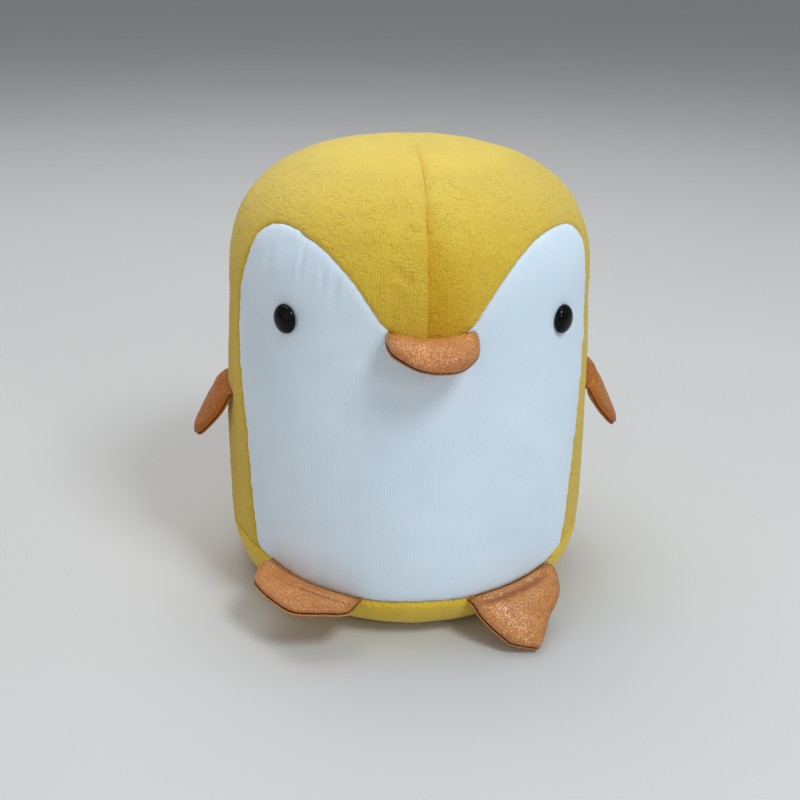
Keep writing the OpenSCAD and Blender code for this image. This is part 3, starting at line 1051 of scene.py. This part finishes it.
class Flap:
    """A padded flap sewn into the body along a root line. Its flat pattern has u along the root
    and w outwards from it. The flap leaves the seam level, then bends down to its droop.

    edge is the free outline of the pattern; bend, curl and tip say how the droop comes in along
    w; half is the greatest half thickness and soft how soon it is reached; roll is the radius of
    the upper layer's edge and under the lower layer's share of it; a crease is its place, depth,
    width, tilt, start and end."""

    def __init__(self, name, az, root_z, edge, droop, bend, half, roll, seed, curl=0.0, tip=0.0,
                 lift=lambda u, w: 0.0, soft=2.6, under=0.55, creases=(), material=LEATHER,
                 pad_from=2.6):
        self.name, self.az, self.root_z, self.material = name, az, root_z, material
        self.droop, self.bend, self.curl, self.tip, self.lift = droop, bend, curl, tip, lift
        self.half, self.soft, self.roll, self.under = half, soft, roll, under
        self.creases, self.seed, self.pad_from = creases, seed, pad_from
        self.radius = float(radius_at(root_z(0.0)))
        edge = smooth_curve(edge, 0.4)
        edge[:, 1] += self.radius - np.sqrt(self.radius ** 2 - np.clip(edge[:, 0], -70, 70) ** 2)
        back = np.array([(edge[-1, 0], -3.0), (edge[0, 0], -3.0)])
        self.edge = edge
        self.pattern = even_spacing(np.vstack([edge, back]), 1.0, closed=True)
        x, y = self.pattern.T
        if (x * np.roll(y, -1) - y * np.roll(x, -1)).sum() > 0:
            self.pattern = self.pattern[::-1].copy()
        ahead = np.roll(self.pattern, -1, axis=0) - np.roll(self.pattern, 1, axis=0)
        ahead /= np.linalg.norm(ahead, axis=1)[:, None]
        self.inward = np.c_[ahead[:, 1], -ahead[:, 0]]
        self.free = Line(flat_points(*edge.T), 0.4)

    def angle(self, w):
        w = np.clip(w, 0, 60)
        return np.radians(self.droop * smooth_step(w, 0, self.bend) + self.curl * w
                          + self.tip * (w / 18) ** 3)

    def mapped(self, u, w, h):
        """Points in space for places on the pattern, h above its middle surface."""
        u, w, h = (np.asarray(x, float) for x in (u, w, h))
        turn = self.az + np.degrees(np.arcsin(np.clip(u / self.radius, -0.98, 0.98)))
        root = on_body(turn, length_at(self.root_z(u)))
        steps = 24
        past = np.maximum(w, 0)
        away = np.zeros_like(w)
        down = np.zeros_like(w)
        for k in range(steps):
            ang = self.angle(past * (k + 0.5) / steps)
            away += np.cos(ang) * past / steps
            down += np.sin(ang) * past / steps
        ang = self.angle(past)
        height = h + self.lift(u, w)
        away += np.minimum(w, 0) + np.sin(ang) * height
        up = np.cos(ang) * height - down
        return root + away[:, None] * heading(self.az) + up[:, None] * UP

    def crease_marks(self, u, w):
        """Depth and nearness of each crease."""
        for place, depth, width, tilt, start, end in self.creases:
            span = smooth_step(u, start - 4, start + 4) * (1 - smooth_step(u, end - 4, end + 4))
            yield depth, span * dent(w - place - tilt * u, 1, width)

    def pinch(self, w):
        """Share of the thickness left near the root."""
        return 0.36 + 0.64 * smooth_step(w, -0.5, 5.5)

    def thickness(self, u, w, below=False):
        """Half thickness over the pattern, past the rolled edge."""
        roll = self.roll * (self.under if below else 1.0)
        most = self.half * (0.72 if below else 1.0)
        gap = np.maximum(self.free.gap(flat_points(u, w)) - roll, 0)
        total = (2 * roll + (most - 2 * roll) * (1 - np.exp(-gap / self.soft))) * self.pinch(w)
        for depth, near in self.crease_marks(u, w):
            total -= depth * near
        return np.maximum(total, 0.5)

    def painted_crease_shade(self, u, w):
        """Painted shade on the leather along its creases, at its root and round its front edge.
        """
        total = 0.45 * (1 - smooth_step(w, -0.5, 2.5))
        for depth, near in self.crease_marks(u, w):
            total += np.clip(depth, 0, 1) * near
        gap = self.free.gap(flat_points(u, w))
        return np.clip(total + dent(gap, 0.7, 1.5 * self.roll), 0, 1)

    def layers(self, roll, inset):
        """Outer and inner places of one layer on the pattern, their heights over its rolled
        edge, and its faces."""
        count = len(self.pattern)
        start = self.pattern + self.inward * inset
        small = roll - min(LEATHER_T, 0.6 * roll)
        sides = []
        for radius in (roll, small):
            ring_sets = [(start + self.inward * (roll - radius * math.cos(theta)),
                          np.full(count, roll + radius * math.sin(theta)))
                         for theta in np.radians([-68, -35, 0, 32, 62, 90])]
            sides.append([np.concatenate(part) for part in zip(*ring_sets)])
        faces = ring_quads(0, 6, count)
        loop = sides[0][0][-count:]
        low, high = loop.min(axis=0), loop.max(axis=0)
        step = 1.05
        xs, ys = np.meshgrid(np.arange(low[0], high[0], step),
                             np.arange(low[1], high[1], step * 0.866))
        xs = xs + (np.arange(xs.shape[0]) % 2)[:, None] * step / 2
        dots = np.c_[xs.ravel(), ys.ravel()]
        dots = dots[inside(loop, *dots.T)]
        border = Line(flat_points(*np.vstack([loop, loop[:1]]).T), 0.5)
        dots = dots[border.gap(flat_points(*dots.T)) > 0.6]
        flat = [Vector(p) for p in np.vstack([loop, dots])]
        _, _, tris, source, _, _ = delaunay_2d_cdt(flat, [], [list(range(count))], 1, 1e-5)
        number = [5 * count + ids[0] if ids else -1 for ids in source]
        for tri in tris:
            corners = [number[i] for i in reversed(tri)]
            if min(corners) >= 0:
                faces.append(corners)
        (outer, heights), (inner, inner_heights) = sides
        return (np.vstack([outer, dots]), np.vstack([inner, dots]), heights, inner_heights,
                faces)

    def sheet(self, below):
        """One leather layer: places on the pattern, heights of both its sides, its faces, and
        how freely each place moves."""
        roll = self.roll * (self.under if below else 1.0)
        places, inner_places, ring_h, inner_h, faces = self.layers(roll, -0.35 * below)
        rings = len(ring_h)
        u, w = places.T
        pinch = self.pinch(w[:rings])
        h = self.thickness(u, w, below)
        h_in = np.maximum(h - LEATHER_T, 0.05)
        h[:rings] = ring_h * pinch
        h_in[:rings] = np.minimum(inner_h * pinch, h[:rings])
        flat = flat_points(u, w)
        gap = self.free.gap(flat)
        calm = smooth_step(w, -1, 3) * smooth_step(gap, 0.3, 3)
        uneven = calm * (0.10 * lumps(flat, self.seed + 7 * below, 8, 7.5)
                         + 0.24 * lumps(flat, self.seed + 40, 6, 19))
        return places, inner_places, h + uneven, h_in + uneven, faces, \
            calm * smooth_step(gap, 1, 4)

    def build(self, upper, lower):
        """Makes both layers and the wadding. upper and lower are endings: piece, CAD node."""
        sheets = {1: self.sheet(False), -1: self.sheet(True)}
        places, _, h, _, faces, _ = sheets[1]
        u, w = places.T
        count = len(self.pattern)
        closed = [list(f) for f in faces] + [[i + len(u) for i in reversed(f)] for f in faces]
        closed += [[j, j + len(u), (j + 1) % count + len(u), (j + 1) % count]
                   for j in range(count)]
        free_line = Line(self.mapped(*self.edge.T, 0 * self.edge[:, 0]), 0.8)
        root_u = np.linspace(self.edge[0, 0], self.edge[-1, 0], 40)
        root_line = Line(self.mapped(root_u, 0 * root_u, 0 * root_u), 0.8)

        def held(where):
            return np.maximum(1 - smooth_step(free_line.gap(where), 1.6, 3.5),
                              1 - smooth_step(root_line.gap(where), 2.5, 5))

        swell = cloth_swell(np.vstack([self.mapped(u, w, h), self.mapped(u, w, -0.72 * h)]),
                            closed, voxel=1.9, pressure=3.0, cap=0.9, held=held)
        made = []
        for (name, node), sign in ((upper, 1), (lower, -1)):
            places, inner_places, h, h_in, faces, free = sheets[sign]
            u, w = places.T
            outer = self.mapped(u, w, sign * h)
            move = swell(outer) * free[:, None] * 0.7
            outer = outer + move
            inner = self.mapped(*inner_places.T, sign * h_in) + move
            outer[:, 2] = np.maximum(outer[:, 2], 0.05)
            inner[:, 2] = np.maximum(inner[:, 2], 0.10)
            way = [f[::sign] for f in faces]
            corner_uv = [[(u[i] * MM, w[i] * MM) for i in f] for f in way]
            verts, all_faces, uv = shell(outer, inner, way, corner_uv)
            obj = make_piece(f"{self.name}_{name}", verts, all_faces, self.material, uv,
                             np.tile(self.painted_crease_shade(u, w), 2))
            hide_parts(f"{self.name}_{node}")
            made.append(obj)
        self.pad()
        return made

    def pad(self):
        """The wadding inside, a little smaller than the two layers all round."""
        centre = self.pattern.mean(axis=0)
        loop = self.pattern + self.inward * 3.4
        loop[:, 1] = np.maximum(loop[:, 1], self.pad_from)
        n = len(loop)
        scales = [1.0, 0.985, 0.93, 0.8, 0.6, 0.35]
        verts, faces = [], []
        for sign in (1, -1):
            first = len(verts)
            for scale, part in zip(scales, [0.12, 0.5, 0.85, 1.0, 1.05, 1.08]):
                u, w = (centre + (loop - centre) * scale).T
                room = np.maximum(self.thickness(u, w, sign < 0) - 0.9, 0.2)
                verts += list(self.mapped(u, w, sign * room * part * 0.8))
            middle = len(verts)
            verts.append(self.mapped(centre[:1], centre[1:], [sign * 1.2])[0])
            fan = [[middle - n + j, middle - n + (j + 1) % n, middle] for j in range(n)]
            faces += [f[::sign] for f in ring_quads(first, len(scales), n) + fan]
        other = middle - len(scales) * n
        faces += [[(j + 1) % n, j, other + j, other + (j + 1) % n] for j in range(n)]
        obj = make_piece(f"{self.name}_pad", verts, faces, WADDING)
        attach(obj, self.name)
        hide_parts(f"{self.name}_wadding")


def sew_flap(flap, upper, lower):
    """Makes a flap and bakes its layers' placement into their meshes."""
    for obj in flap.build(upper, lower):
        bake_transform(obj)


def beak_lift(u, w):
    """The beak's corners drop a little and its middle arches."""
    return (-1.8 * (np.abs(u) / 18.0) ** 2.2 * smooth_step(w, 0, 8)
            + 1.2 * smooth_step(w, 1, 8) * (1 - (np.abs(u) / 19.0) ** 2))


BEAK_EDGE = [(-17.6, -2.0), (-18.4, 1.5), (-18.6, 4.6), (-17.9, 8.2), (-16.4, 11.0),
             (-12.9, 13.7), (-8.2, 16.1), (-3.0, 17.2), (1.3, 17.5), (6.4, 17.5), (10.5, 16.8),
             (13.8, 14.9), (16.5, 12.0), (18.0, 6.4), (17.9, 2.0), (17.2, -2.0)]
beak = Flap("beak", 0.0, lambda u: 140.4 + 3.8 * (np.abs(u) / 18.0) ** 2,
            [(u, w * 1.07) for u, w in BEAK_EDGE], 13, bend=3.0, tip=36.0, lift=beak_lift,
            half=5.0, soft=3.0, roll=1.6, under=0.36, seed=2, pad_from=4.8)
sew_flap(beak, ("top", "upper"), ("underside", "lower"))

FLIPPER_EDGE = [(-13.4, -1.5), (-14.2, 4.0), (-13.2, 11.0), (-10.0, 19.0), (-6.2, 26.0),
                (-2.0, 29.4), (2.4, 29.8), (6.6, 27.0), (10.4, 20.5), (13.0, 12.0), (13.8, 4.5),
                (13.0, -1.5)]
for side, word, turn, height, rise, droop, wide, long in (
        (1, "left", 82.0, 99.6, 2.4, 63, 1.14, 1.03),
        (-1, "right", 85.0, 96.2, 0.5, 62, 1.08, 1.0)):
    flipper = Flap("flipper_" + word, side * turn,
                   lambda u, s=side, z=height, up=rise: z + up * s * u / 12.5,
                   [(u * side * wide, w * long) for u, w in FLIPPER_EDGE], droop, bend=2.6,
                   curl=-0.15, half=3.4, roll=0.9, seed=5 + side, material=LEATHER_PAINTED_DARKER,
                   pad_from=6.5)
    sew_flap(flipper, ("front", "outer"), ("back", "inner"))


def foot_root(azimuth, below):
    """A foot's root line, a little below the base seam."""
    return lambda u: base_seam_z(azimuth + np.degrees(np.arcsin(u / BASE_SEAM_R))) - below


FOOT_LEFT_EDGE = [(-25.6, -4.0), (-25.8, -1.0), (-25.5, 4.6), (-23.3, 11.8), (-19.4, 20.8),
                  (-18.2, 22.6), (-14.1, 25.8), (-8.2, 29.6), (-6.6, 29.3), (-2.1, 26.1),
                  (3.9, 20.7), (11.2, 16.4), (16.3, 11.7), (18.7, 5.8), (19.6, 1.3),
                  (19.6, -4.0)]
foot_left = Flap("foot_left", 31.0, foot_root(31.0, 1.1), FOOT_LEFT_EDGE, 46, bend=7.0,
                 curl=-0.3, half=4.5, soft=3.8, roll=1.4, under=0.42, seed=9,
                 creases=[(4.5, 2.1, 1.05, 0.0, -23, 12), (2.0, -0.7, 1.3, 0.0, -21, 15)])
sew_flap(foot_left, ("top", "upper"), ("bottom", "sole"))

FOOT_RIGHT_EDGE = [(-23.3, -4.0), (-23.4, 1.8), (-22.4, 6.9), (-20.4, 13.0), (-17.8, 16.5),
                   (-10.9, 19.6), (-3.3, 21.8), (3.5, 23.0), (8.6, 21.7), (16.9, 15.6),
                   (23.0, 11.4), (24.8, 8.4), (24.8, 4.7), (23.6, -4.0)]
foot_right = Flap("foot_right", -35.5, foot_root(-35.5, 0.3), FOOT_RIGHT_EDGE, -4, bend=5.0,
                  half=4.0, soft=3.2, roll=1.3, under=0.42, seed=13,
                  creases=[(9.6, 2.6, 0.75, 0.0, -3, 24), (12.0, -0.5, 1.6, 0.0, -3, 24)])
sew_flap(foot_right, ("top", "upper"), ("bottom", "sole"))
